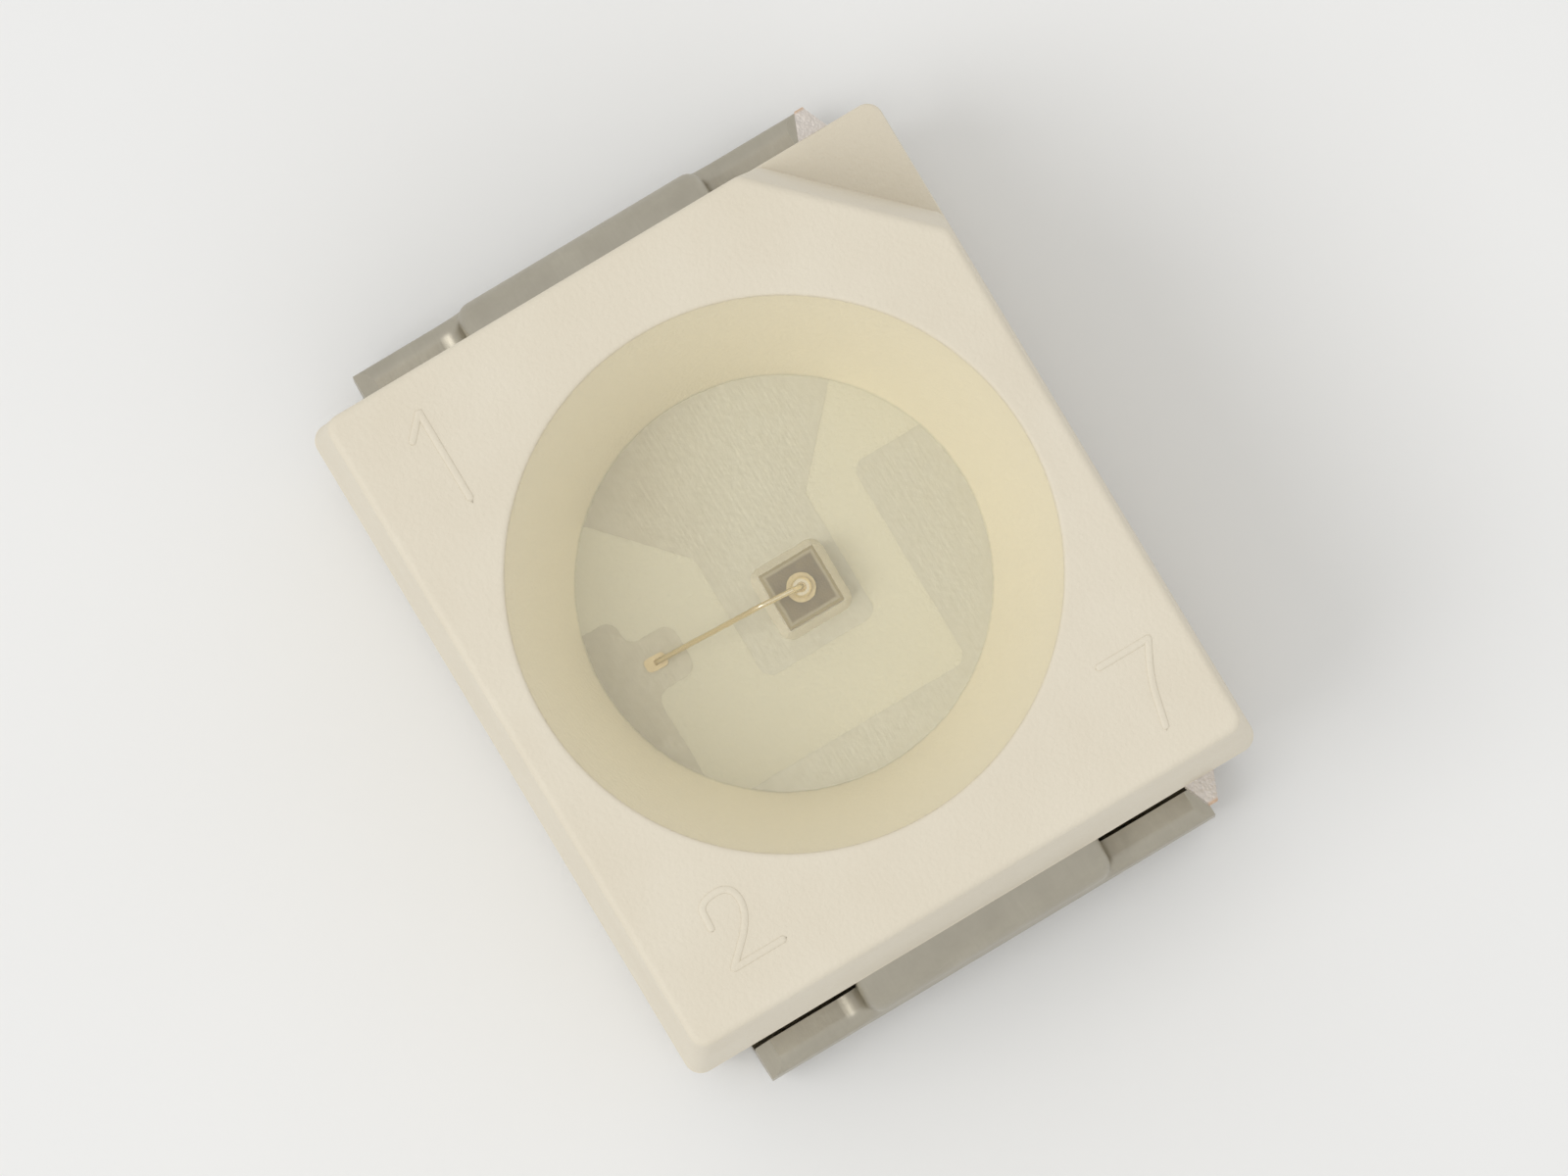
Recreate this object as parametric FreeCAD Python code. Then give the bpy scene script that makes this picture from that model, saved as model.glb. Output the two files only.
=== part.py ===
# Two-lead surface-mount LED with a moulded white housing, a round reflector cup filled with
# clear resin, two J-bent leads and one bevelled corner that marks the cathode.
#
# Millimetres. X runs along the lead axis with the cathode end at -X, Y across the body, Z up.
# The origin is the middle of the footprint, on the plane that both feet are soldered to.
import FreeCAD, Part
import math
import os

Vector = FreeCAD.Vector

# Housing, outside
body_length = 3.2            # at the parting line, along X
body_width = 2.8             # at the parting line, along Y
body_top = 1.9               # top face above the solder plane
parting_height = 0.95        # where the two mould halves meet, level with the lead frame's top
base_height = 0.10           # underside of the pedestal above the solder plane
upper_draft = 3.0            # degrees
lower_draft = 4.0            # degrees
upright_radius = 0.07        # the four upright corners
top_edge_radius = 0.03       # round along the top face's outer edge
mark_leg = 0.65              # the cathode mark's bevel, along each side of the top face
mark_ledge_rise = 0.05       # the ledge that the bevel leaves, above the parting line
mark_draft = 8.0             # degrees, the bevel's slope
mark_edge_radius = 0.06      # the bevel's two upright edges

# Housing, reflector cup
cup_rim_radius = 1.18
cup_floor_radius = 0.90
rim_break = 0.02             # small bevel round the cup's mouth
resin_dip = 0.04             # how far the cured resin's middle lies below its edge

# Housing, underside
pedestal_length = 1.50       # between the feet
pedestal_draft = 10.0        # degrees
foot_air = 0.07              # between a foot and the body above it
pocket_depth = 0.18          # how far the pocket behind each lead goes into the end face
pocket_clearance = 0.05      # between a lead's edge and its pocket, all round
gate_radius = 0.32           # dimple where the plastic was injected
gate_depth = 0.05
gate_stub_radius = 0.11      # the torn-off runner in the middle of the dimple
gate_stub_height = 0.03
ejector_radius = 0.18        # two ejector pin marks
ejector_depth = 0.015
ejector_spacing = 1.70

# Lead frame, outside the body
sheet_thickness = 0.15
bend_radius = 0.08           # inside radius of both bends
neck_width = 1.20            # where a lead leaves the body
foot_width = 2.20
foot_length = 0.85           # under the body, from the lead's outer face
foot_tip_bevel = 0.10        # the foot's two corners under the body
neck_drop = 0.22             # from the upper bend down to the shoulders of the foot
shoulder_radius = 0.10       # where the neck widens to the foot
shoulder_bevel = 0.07        # the foot's two upper corners
rolled_edge_radius = 0.07    # the stamping's rounded edges, on the outer face

# Lead frame, inside the body
stamped_radius = 0.06        # corners of the stamped outline
head_depth = 0.14            # from the end face to the wide head that anchors a lead
cathode_head_width = 2.00
cathode_head_inner = 0.66    # the cathode head's inner edge, from the middle of the body
anode_head_width = 2.10
anode_head_inner = 0.69
fan_mouth_width = 1.24       # the fan where it leaves the cathode head
fan_length = 0.37            # along X, from the head to the die pad
die_pad_width = 0.56
die_pad_reach = 0.32         # the die pad's far edge, from the middle of the body
marked_arm_inner = 0.51      # inner edge of the anode arm on the bevel's side
marked_arm_reach = 0.29      # how far that arm goes towards the cathode
wire_arm_inner = 0.72        # inner edge of the anode arm on the wire's side
wire_arm_reach = 0.25
finger_x = 0.01              # middle of the finger that the wire is stitched to
finger_width = 0.24
finger_reach = 0.21          # from the arm towards the die
anchor_hole_radius = 0.13    # hole in each head that the plastic locks through
anchor_hole_position = 1.17  # from the middle of the body

# Cut-off ends of the bars that held the body in the strip
bar_offset = 1.10            # from the middle of the body, on the bevel's side
bar_width = 0.14
bar_tip_width = 0.04
bar_stub_length = 0.12       # outside the end face
bar_head_gap = 0.03          # plastic between a bar and the lead's head

# Light-emitting die and what joins it to the leads
die_side = 0.27
die_height = 0.20
die_edge_bevel = 0.012
die_offset_x = 0.06
die_offset_y = 0.05
glue_thickness = 0.02        # conductive glue under the die
glue_margin = 0.04           # how far the glue shows round the die at its foot
glue_climb = 0.06            # how far it wets up the die's sides
glue_top_margin = 0.006
glue_corner_radius = 0.06
pad_radius = 0.065           # round metal contact on the die
pad_thickness = 0.010

# Bond wire
wire_radius = 0.0125
ball_radius = 0.045
ball_height = 0.024
ball_shoulder = 0.009        # bevel round the squashed ball's top and bottom
ball_neck_height = 0.030
loop_first_rise = 0.110      # straight up from the ball to the first corner
loop_first_radius = 0.06
loop_top_run = 0.20          # from the ball's axis to the loop's highest corner
loop_top_rise = 0.145        # that corner above the ball
loop_top_radius = 0.12
landing_rise = 0.014         # the wire's axis above the finger where it meets the stitch
stitch_inset = 0.14          # from the finger's tip to the stitch
stitch_length = 0.10
stitch_width = 0.065
stitch_thickness = 0.014
stitch_corner_radius = 0.02

overshoot = 0.5              # how far a cutting tool reaches past what it cuts

# Worked out from the sizes above
half_length = body_length / 2
half_width = body_width / 2
frame_top = parting_height
frame_bottom = frame_top - sheet_thickness
lead_face = half_length + sheet_thickness
head_outer = half_length - head_depth
outer_bend_radius = bend_radius + sheet_thickness
shoulder_height = frame_top - outer_bend_radius - neck_drop
foot_recess_height = sheet_thickness + foot_air
resin_edge = body_top - rim_break
die_base = frame_top + glue_thickness
die_top = die_base + die_height
pad_top = die_top + pad_thickness
finger_tip_y = finger_reach - wire_arm_inner


def outline(corners):
    """Closed wire in the XY plane through (a, b, radius) corners, each rounded by an arc."""
    turns = []
    for place, (a, b, radius) in enumerate(corners):
        here = Vector(a, b, 0)
        back = Vector(*corners[place - 1][:2], 0) - here
        ahead = Vector(*corners[(place + 1) % len(corners)][:2], 0) - here
        half_angle = back.getAngle(ahead) / 2
        back.normalize()
        ahead.normalize()
        trim = radius / math.tan(half_angle)
        inward = (back + ahead) * (radius / math.sin(half_angle) - radius)
        middle = here + inward * (1 / (2 * math.cos(half_angle)))
        turns.append((here + back * trim, middle, here + ahead * trim, radius))
    edges = []
    for place, (start, middle, end, radius) in enumerate(turns):
        if radius:
            edges.append(Part.Arc(start, middle, end).toShape())
        following = turns[(place + 1) % len(turns)][0]
        if end.distanceToPoint(following) > 1e-6:
            edges.append(Part.LineSegment(end, following).toShape())
    return Part.Wire(edges)


def upright_prism(corners, low, high):
    """Prism over an (X, Y) outline, from height low to height high."""
    prism = Part.Face(outline(corners)).extrude(Vector(0, 0, high - low))
    prism.translate(Vector(0, 0, low))
    return prism


def lengthwise_prism(corners, start, end):
    """Prism over a (Y, Z) outline, from X start to X end."""
    prism = upright_prism(corners, start, end)
    prism.rotate(Vector(), Vector(1, 1, 1), 120)
    return prism


def crosswise_prism(corners, width):
    """Prism over an (X, Z) outline, centred on Y = 0."""
    prism = upright_prism(corners, -width / 2, width / 2)
    prism.rotate(Vector(), Vector(1, 0, 0), 90)
    return prism


def rectangle(half_x, half_y, radius):
    """Corners of a rectangle centred on the origin."""
    return [(-half_x, -half_y, radius), (half_x, -half_y, radius),
            (half_x, half_y, radius), (-half_x, half_y, radius)]


def tapered_block(low_corners, low, high_corners, high):
    """Solid between two outlines at two heights, with straight sides."""
    rings = []
    for corners, height in ((low_corners, low), (high_corners, high)):
        ring = outline(corners)
        ring.translate(Vector(0, 0, height))
        rings.append(ring)
    return Part.makeLoft(rings, True, True)


def turned(profile):
    """Solid of revolution about Z from a closed profile of (radius, height) points."""
    points = [Vector(radius, 0, height) for radius, height in profile]
    face = Part.Face(Part.makePolygon(points + points[:1]))
    return face.revolve(Vector(), Vector(0, 0, 1), 360)


def disc(radius, low, high, x=0.0, y=0.0):
    """Upright cylinder from height low to height high."""
    return Part.makeCylinder(radius, high - low, Vector(x, y, low))


def near(value, target):
    """Whether two lengths are the same."""
    return abs(value - target) < 1e-6


def edges_where(shape, wanted):
    """Edges of a shape whose middle satisfies a test."""
    return [edge for edge in shape.Edges if wanted(edge.CenterOfMass)]


def mirrored_end(shape):
    """The same shape at the other end of the body."""
    return shape.mirror(Vector(), Vector(1, 0, 0))


def inset(height):
    """How far the drafted side lies inside the parting outline at a height."""
    draft = upper_draft if height > parting_height else lower_draft
    return abs(height - parting_height) * math.tan(math.radians(draft))


def body_corners(height):
    """The body's four corners at a height."""
    return rectangle(half_length - inset(height), half_width - inset(height), upright_radius)


def marked_corners(height):
    """The upper half's corners at a height, with the bevel at the cathode corner."""
    drop = (body_top - height) * math.tan(math.radians(mark_draft)) * math.sqrt(2)
    leg = mark_leg + 2 * (inset(body_top) - inset(height)) - drop
    corners = body_corners(height)
    x, y, _ = corners.pop()
    return corners + [(x + leg, y, mark_edge_radius), (x, y - leg, mark_edge_radius)]


def upper_half():
    """Body above the parting line, with its top edge rounded."""
    ledge = parting_height + mark_ledge_rise
    block = tapered_block(marked_corners(ledge), ledge, marked_corners(body_top), body_top)
    top_edges = edges_where(block, lambda middle: near(middle.z, body_top))
    block = block.makeFillet(top_edge_radius, top_edges)
    rim = tapered_block(body_corners(parting_height), parting_height, body_corners(ledge), ledge)
    return rim.fuse(block)


def lead_front(clearance):
    """A lead seen from its end: a neck that widens to the foot, grown by a clearance."""
    neck = neck_width / 2 + clearance
    foot = foot_width / 2 + clearance
    shoulder = shoulder_height + clearance
    right = [(foot, -overshoot, 0), (foot, shoulder - shoulder_bevel, 0),
             (foot - shoulder_bevel, shoulder, 0), (neck, shoulder, shoulder_radius),
             (neck, frame_top, 0)]
    return right + [(-across, height, radius) for across, height, radius in reversed(right)]


def end_relief():
    """What the mould leaves open round the anode lead: the pocket and the foot's recess."""
    past_end = lead_face + overshoot
    pocket = lengthwise_prism(lead_front(pocket_clearance), half_length - pocket_depth, past_end)
    slope = math.tan(math.radians(pedestal_draft))
    low = pedestal_length / 2 - (base_height + overshoot) * slope
    high = pedestal_length / 2 + (foot_recess_height - base_height) * slope
    side = [(low, -overshoot, 0), (past_end, -overshoot, 0),
            (past_end, foot_recess_height, 0), (high, foot_recess_height, 0)]
    return pocket.fuse(crosswise_prism(side, foot_width + 2 * pocket_clearance))


def lower_half():
    """Body below the parting line, with the relief for both leads and the mould's marks."""
    block = tapered_block(body_corners(base_height), base_height,
                          body_corners(parting_height), parting_height)
    gate = disc(gate_radius, base_height - overshoot, base_height + gate_depth)
    stub_low = base_height + gate_depth - gate_stub_height
    gate = gate.cut(disc(gate_stub_radius, stub_low, base_height + gate_depth))
    marks = [disc(ejector_radius, base_height - overshoot, base_height + ejector_depth, 0, y)
             for y in (-ejector_spacing / 2, ejector_spacing / 2)]
    relief = end_relief()
    return block.cut([relief, mirrored_end(relief), gate] + marks)


def reflector_cup():
    """The hollow of the cup: a cone from the lead frame to the rim, with the rim bevelled."""
    mouth = cup_rim_radius + rim_break
    return turned([(0, frame_top), (cup_floor_radius, frame_top), (cup_rim_radius, resin_edge),
                   (mouth, body_top), (mouth, body_top + overshoot), (0, body_top + overshoot)])


def bent_strip():
    """The anode lead outside its head: neck, two bends and foot, with rolled outer edges."""
    foot_end = lead_face - foot_length
    inner_end = head_outer - stamped_radius
    side = [(inner_end, frame_top, 0), (lead_face, frame_top, outer_bend_radius),
            (lead_face, 0, outer_bend_radius), (foot_end, 0, 0), (foot_end, sheet_thickness, 0),
            (half_length, sheet_thickness, bend_radius), (half_length, frame_bottom, bend_radius),
            (inner_end, frame_bottom, 0)]
    strip = crosswise_prism(side, foot_width)
    strip = strip.common(lengthwise_prism(lead_front(0), foot_end - overshoot, lead_face + overshoot))
    tips = edges_where(strip, lambda middle: near(middle.x, foot_end)
                       and near(abs(middle.y), foot_width / 2))
    strip = strip.makeChamfer(foot_tip_bevel, tips)
    rolled = edges_where(strip, lambda middle: near(middle.x, lead_face)
                         and near(abs(middle.y), neck_width / 2))
    return strip.makeFillet(rolled_edge_radius, rolled)


def anchor_hole():
    """The hole in the anode lead's head."""
    return disc(anchor_hole_radius, frame_bottom, frame_top, anchor_hole_position)


def cathode_lead():
    """Lead with the die pad: head, fan and pad inside the body, neck and foot outside it."""
    r = stamped_radius
    head = cathode_head_width / 2
    mouth = fan_mouth_width / 2
    pad = die_pad_width / 2
    inner = -cathode_head_inner
    fan_end = inner + fan_length
    plan = [(-head_outer, -head, r), (inner, -head, r), (inner, -mouth, r), (fan_end, -pad, r),
            (die_pad_reach, -pad, r), (die_pad_reach, pad, r), (fan_end, pad, r),
            (inner, mouth, r), (inner, head, r), (-head_outer, head, r)]
    plate = upright_prism(plan, frame_bottom, frame_top)
    plate = plate.fuse(mirrored_end(bent_strip())).cut(mirrored_end(anchor_hole()))
    return plate.removeSplitter()


def anode_lead():
    """Lead with two arms round the die pad and the finger for the wire."""
    r = stamped_radius
    head = anode_head_width / 2
    finger_low = finger_x - finger_width / 2
    finger_high = finger_x + finger_width / 2
    plan = [(head_outer, -head, r), (head_outer, head, r), (-marked_arm_reach, head, r),
            (-marked_arm_reach, marked_arm_inner, r), (anode_head_inner, marked_arm_inner, r),
            (anode_head_inner, -wire_arm_inner, r), (finger_high, -wire_arm_inner, r),
            (finger_high, finger_tip_y, r), (finger_low, finger_tip_y, r),
            (finger_low, -wire_arm_inner, r), (-wire_arm_reach, -wire_arm_inner, r),
            (-wire_arm_reach, -head, r)]
    plate = upright_prism(plan, frame_bottom, frame_top)
    return plate.fuse(bent_strip()).cut(anchor_hole()).removeSplitter()


def support_bar():
    """Cut-off bar at the anode end: narrowed where it was sheared from the strip."""
    wide = bar_width / 2
    tip = bar_tip_width / 2
    buried = head_outer + bar_head_gap
    end = half_length + bar_stub_length
    plan = [(buried, bar_offset - wide, 0), (half_length, bar_offset - wide, 0),
            (end, bar_offset - tip, 0), (end, bar_offset + tip, 0),
            (half_length, bar_offset + wide, 0), (buried, bar_offset + wide, 0)]
    return upright_prism(plan, frame_bottom, frame_top)


def housing(inserts):
    """Moulded body: both halves, the cup, and the plastic kept out of the metal inserts."""
    body = upper_half().fuse(lower_half()).removeSplitter()
    return body.cut([reflector_cup()] + inserts)


def led_chip():
    """The die, with its top edges bevelled."""
    corner = Vector(die_offset_x - die_side / 2, die_offset_y - die_side / 2, die_base)
    die = Part.makeBox(die_side, die_side, die_height, corner)
    return die.makeChamfer(die_edge_bevel, edges_where(die, lambda middle: near(middle.z, die_top)))


def die_attach():
    """Glue under the die, with a fillet that climbs its sides."""
    foot = die_side / 2 + glue_margin
    top = die_side / 2 + glue_top_margin
    fillet = tapered_block(rectangle(foot, foot, glue_corner_radius), frame_top,
                           rectangle(top, top, glue_top_margin), die_base + glue_climb)
    fillet.translate(Vector(die_offset_x, die_offset_y, 0))
    corner = Vector(die_offset_x - die_side / 2, die_offset_y - die_side / 2, die_base)
    return fillet.cut(Part.makeBox(die_side, die_side, die_height, corner))


def bond_pad():
    """Round contact in the middle of the die's top."""
    return disc(pad_radius, die_top, pad_top, die_offset_x, die_offset_y)


def bond_ball():
    """Squashed ball on the contact, and the cone up to the wire."""
    top = pad_top + ball_height
    flat = ball_radius - ball_shoulder
    ball = turned([(0, pad_top), (flat, pad_top), (ball_radius, pad_top + ball_shoulder),
                   (ball_radius, top - ball_shoulder), (flat, top), (ball_radius / 2, top),
                   (wire_radius, top + ball_neck_height), (0, top + ball_neck_height)])
    ball.translate(Vector(die_offset_x, die_offset_y, 0))
    return ball


def loop_path(span):
    """Line of the wire in the XZ plane from the ball at X = 0 to the stitch at X = span."""
    start = pad_top + ball_height
    landing = frame_top + landing_rise
    corners = [(0, start, 0), (0, start + loop_first_rise, loop_first_radius),
               (loop_top_run, start + loop_top_rise, loop_top_radius), (span, landing, 0)]
    edges = outline(corners).Edges[:-1]
    path = Part.Wire(edges)
    path.rotate(Vector(), Vector(1, 0, 0), 90)
    return path


def bond_wire():
    """Wire from the ball on the die, up, over and down to a flat stitch on the finger."""
    rise_x = finger_x - die_offset_x
    rise_y = finger_tip_y - stitch_inset - die_offset_y
    span = math.hypot(rise_x, rise_y)
    path = loop_path(span)
    start = path.Vertexes[0].Point
    section = Part.Wire(Part.makeCircle(wire_radius, start, Vector(0, 0, 1)))
    wire = path.makePipeShell([section], True, False)
    half = stitch_length / 2
    stitch = upright_prism(rectangle(half, stitch_width / 2, stitch_corner_radius),
                           frame_top, frame_top + stitch_thickness)
    stitch.translate(Vector(span, 0, 0))
    run = wire.fuse(stitch)
    run.rotate(Vector(), Vector(0, 0, 1), math.degrees(math.atan2(rise_y, rise_x)))
    run.translate(Vector(die_offset_x, die_offset_y, 0))
    return run.fuse(bond_ball()).removeSplitter()


def encapsulant(buried):
    """Cured resin that fills the cup, hollow-topped, with room for what it buries."""
    fill = turned([(0, frame_top), (cup_floor_radius, frame_top), (cup_rim_radius, resin_edge),
                   (0, resin_edge)])
    dish_radius = (cup_rim_radius ** 2 + resin_dip ** 2) / (2 * resin_dip)
    dish_middle = resin_edge - resin_dip + dish_radius
    dish = Part.makeSphere(dish_radius, Vector(0, 0, dish_middle))
    return fill.cut([dish] + buried)


def main():
    """Make every piece and write each to its own STEP file."""
    metal = {
        "cathode_lead": cathode_lead(),
        "anode_lead": anode_lead(),
        "support_bar_cathode_end": mirrored_end(support_bar()),
        "support_bar_anode_end": support_bar(),
    }
    buried = {
        "led_chip": led_chip(),
        "die_attach": die_attach(),
        "bond_pad": bond_pad(),
        "bond_wire": bond_wire(),
    }
    pieces = {
        "housing": housing(list(metal.values())),
        "encapsulant": encapsulant(list(buried.values())),
    }
    pieces.update(metal)
    pieces.update(buried)
    os.makedirs("parts", exist_ok=True)
    for name, shape in pieces.items():
        solids = shape.Solids
        sound = all(solid.isValid() and solid.isClosed() for solid in solids)
        print(f"{name}: {len(solids)} solid, sound {sound}, {shape.Volume:.5f} mm3")
        solids[0].exportStep(f"parts/{name}.step")


main()
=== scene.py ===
import math

import bmesh
import bpy
import numpy as np
from bpy.props import FloatProperty, FloatVectorProperty, PointerProperty
from mathutils import Matrix, Vector
from mathutils.geometry import delaunay_2d_cdt


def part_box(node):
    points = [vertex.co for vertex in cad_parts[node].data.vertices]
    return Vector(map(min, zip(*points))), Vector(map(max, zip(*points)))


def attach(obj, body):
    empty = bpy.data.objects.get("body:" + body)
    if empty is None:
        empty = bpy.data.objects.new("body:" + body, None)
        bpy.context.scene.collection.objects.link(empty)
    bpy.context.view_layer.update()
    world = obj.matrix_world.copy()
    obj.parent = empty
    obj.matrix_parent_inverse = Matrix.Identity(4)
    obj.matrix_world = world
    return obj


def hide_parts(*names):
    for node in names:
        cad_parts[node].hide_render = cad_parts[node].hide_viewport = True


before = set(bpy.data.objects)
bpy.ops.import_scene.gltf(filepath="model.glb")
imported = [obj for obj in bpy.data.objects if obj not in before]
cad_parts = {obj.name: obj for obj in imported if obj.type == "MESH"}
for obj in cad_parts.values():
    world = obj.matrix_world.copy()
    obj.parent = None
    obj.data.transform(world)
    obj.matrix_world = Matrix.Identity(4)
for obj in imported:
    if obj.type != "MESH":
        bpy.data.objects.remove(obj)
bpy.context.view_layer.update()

bl_info = {
    "name": "Surface-mount LED",
    "version": (1, 0, 0),
    "blender": (4, 5, 0),
    "location": "3D View > Sidebar > LED",
    "description": "Dresses a packed two-lead LED and sets its stage",
    "category": "Object",
}

MM = 0.001
HOUSING_LOW, HOUSING_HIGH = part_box("housing")
RESIN_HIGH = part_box("encapsulant")[1]
DIE_LOW, DIE_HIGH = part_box("led_chip")
FRAME_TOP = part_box("support_bar_anode_end")[1].z
FOOT_LENGTH = 0.85 * MM
FOOT_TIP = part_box("anode_lead")[1].x - FOOT_LENGTH
# Points closer than the weld are one, the picture's shape is its width over its height, and most
# of a noise's values lie in its span.
WELD = 1e-4 * MM
PICTURE_SHAPE = 1600 / 1200
NOISE_SPAN = (0.3, 0.7)

# Steps of the body's rings: along the pocket's back, along the end face, along half a side, and
# before, in and after the bend of a corner.
BACK_STEPS, FACE_STEPS, SIDE_STEPS = 12, 3, 17
CORNER_STEPS = (4, 8, 4)
# Steps over a small round, over the top edge and down the cup's wall.
ROUND_STEPS, EDGE_STEPS, WALL_STEPS = 5, 6, 8
# Steps round the gate, round an ejector mark, round the resin and along its dish.
GATE_STEPS, MARK_STEPS, TURN_STEPS, DISH_STEPS = 64, 48, 192, 32
# Steps along each run of a number's stroke, and round its bead.
STROKE_STEPS, BEAD_STEPS = 12, 16


def length(name, description, default):
    """A length property, in metres."""
    return FloatProperty(name=name, description=description, default=default, min=0.0,
                         precision=6, unit="LENGTH")


def slope(name, description, default):
    """An angle property, given in degrees."""
    return FloatProperty(name=name, description=description, default=math.radians(default),
                         subtype="ANGLE")


def share(name, description, default):
    """A property from 0 to 1."""
    return FloatProperty(name=name, description=description, default=default, min=0.0, max=1.0,
                         subtype="FACTOR")


def colour(name, description, default):
    """A colour property, scene linear."""
    return FloatVectorProperty(name=name, description=description, default=default, min=0.0,
                               max=1.0, size=3, subtype="COLOR")


class HousingSettings(bpy.types.PropertyGroup):
    """Sizes and colours of the moulded housing."""
    upper_draft: slope("Upper draft", "Taper of the sides above the parting line", 3.0)
    lower_draft: slope("Lower draft", "Taper of the sides below the parting line", 4.0)
    corner_radius: length("Corner radius", "Round of the upright corners", 0.07 * MM)
    top_radius: length("Top edge radius", "Round along the top face's outer edge", 0.03 * MM)
    flash: length("Parting flash", "How far the parting line stands out", 0.004 * MM)
    mark_leg: length("Mark leg", "Cathode bevel along each side of the top face", 0.65 * MM)
    mark_rise: length("Mark ledge", "Ledge under the bevel, above the parting line", 0.05 * MM)
    mark_draft: slope("Mark draft", "Slope of the cathode bevel", 8.0)
    mark_radius: length("Mark edge radius", "Round of the bevel's upright edges", 0.06 * MM)
    floor_radius: length("Cup floor radius", "Radius of the cup at the lead frame", 0.90 * MM)
    rim_break: length("Rim round", "Round at the cup's mouth", 0.02 * MM)
    floor_drop: length("Floor drop", "Plastic floor below the lead frame's top", 0.002 * MM)
    pedestal_length: length("Pedestal length", "Stand-off between the feet", 1.50 * MM)
    pedestal_draft: slope("Pedestal draft", "Slope of the pedestal's ends", 10.0)
    recess_height: length("Foot recess", "Height of the recess over each foot", 0.22 * MM)
    pocket_depth: length("Pocket depth", "Pocket behind each lead", 0.18 * MM)
    pocket_neck: length("Pocket at the neck", "Half width of the pocket behind the neck", 0.65 * MM)
    pocket_foot: length("Pocket at the foot", "Half width of the recess over a foot", 1.15 * MM)
    pocket_shoulder: length("Pocket shoulder", "Height of the pocket's shoulder", 0.55 * MM)
    pocket_bevel: length("Pocket bevel", "Bevel of the pocket's shoulder", 0.07 * MM)
    pocket_round: length("Pocket round", "Round between shoulder and neck", 0.10 * MM)
    gate_radius: length("Gate radius", "Dimple where the plastic was injected", 0.32 * MM)
    gate_depth: length("Gate depth", "Depth of that dimple", 0.05 * MM)
    stub_radius: length("Stub radius", "Torn-off runner in the dimple", 0.11 * MM)
    stub_height: length("Stub height", "Height of the torn-off runner", 0.03 * MM)
    ejector_radius: length("Ejector radius", "Ejector pin marks", 0.18 * MM)
    ejector_depth: length("Ejector depth", "Depth of the ejector pin marks", 0.015 * MM)
    ejector_reach: length("Ejector reach", "Ejector marks from the middle", 0.85 * MM)
    plastic: colour("Plastic", "Cream of the moulded plastic", (0.735, 0.672, 0.545))
    plastic_shade: colour("Plastic, shade", "Darker clouds in the plastic", (0.710, 0.643, 0.513))
    # The cup's colours are painted light and shade: the wall is a lighter copy of the plastic,
    # lighter still at its foot, and the floor between the metal is a darker copy.
    cup: colour("Cup", "Brighter, polished plastic of the cup's wall", (0.84, 0.775, 0.605))
    cup_low_painted_light: colour("Cup, low", "The wall's plastic next to the floor", (0.90, 0.84, 0.665))
    cup_floor_painted_shade: colour("Cup floor", "Plastic between the metal in the cup", (0.685, 0.655, 0.515))
    number_height: length("Number height", "Height of a cavity number", 0.30 * MM)
    number_stroke: length("Number stroke", "Half width of its stroke", 0.016 * MM)
    number_rise: length("Number rise", "How far it stands above the top", 0.006 * MM)
    number_seat: length("Number seat", "How deep its bead lies in the top", 0.003 * MM)


class ResinSettings(bpy.types.PropertyGroup):
    """Sizes and colour of the resin in the cup."""
    dip: length("Dip", "Hollow of the cured top", 0.04 * MM)
    seat: length("Seat", "How far the resin's skin lies in the cup's wall", 0.004 * MM)
    tint: colour("Tint", "Colour of the resin", (0.99, 0.975, 0.92))
    haze: share("Haze", "Share of the light that the filler scatters", 0.06)


class MetalSettings(bpy.types.PropertyGroup):
    """Colours of the leads, the die and what joins them."""
    silver: colour("Silver", "Plating inside the cup", (0.62, 0.592, 0.476))
    # Painted shade: a darker copy of the silver, for the side of the cup's floor that the wall
    # shades from the lamp.
    painted_shade_silver: colour("Dull silver", "Plating towards the wire's finger", (0.55, 0.51, 0.392))
    tin: colour("Tin", "Dull plating outside the body", (0.49, 0.457, 0.375))
    bright_tin: colour("Bright tin", "Plating on the cut-off bars", (0.65, 0.60, 0.55))
    tarnish: colour("Tarnish", "Darker patches on the tin", (0.43, 0.397, 0.325))
    shear: colour("Shear", "Bare metal where the bars were cut", (0.62, 0.42, 0.27))
    die: colour("Die", "Top of the die", (0.22, 0.168, 0.072))
    die_street: colour("Street", "Sawn border of the die", (0.36, 0.305, 0.185))
    glue: colour("Glue", "Silver-filled glue", (0.88, 0.84, 0.72))
    contact: colour("Contact", "Gold contact on the die", (0.68, 0.565, 0.34))
    gold: colour("Gold", "Drawn gold wire", (0.84, 0.745, 0.54))


class StageSettings(bpy.types.PropertyGroup):
    """Floor, light and camera."""
    floor: colour("Floor", "Plain pale floor", (0.84, 0.84, 0.83))
    sky: colour("Sky", "Plain soft light from all round", (0.81, 0.81, 0.81))
    lamp_share: share("Lamp", "The lamp's part on a level face, in albedo units", 0.23)
    lamp_height: slope("Lamp height", "Angle of the lamp above the floor", 56.0)
    lamp_turn: slope("Lamp turn", "Lamp's way round from the picture's left", 24.0)
    picture_turn: slope("Turn", "How far the part's +Y stands above the picture's right", 30.9)
    lean_x: FloatProperty(name="Lean along X", description="Camera's lean, per unit up",
                          default=0.053)
    lean_y: FloatProperty(name="Lean along Y", description="Camera's lean, per unit up",
                          default=-0.033)
    picture_height: length("Picture height", "Height of the view at the part", 5.0 * MM)
    lens: FloatProperty(name="Lens", description="Focal length", default=600.0, subtype="NONE")


def straight(start, end, steps):
    """Points from start towards end, the end left out: start + (end - start) k / steps."""
    part = np.arange(steps)[:, None] / steps
    return np.asarray(start) + (np.asarray(end) - np.asarray(start)) * part


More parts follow.
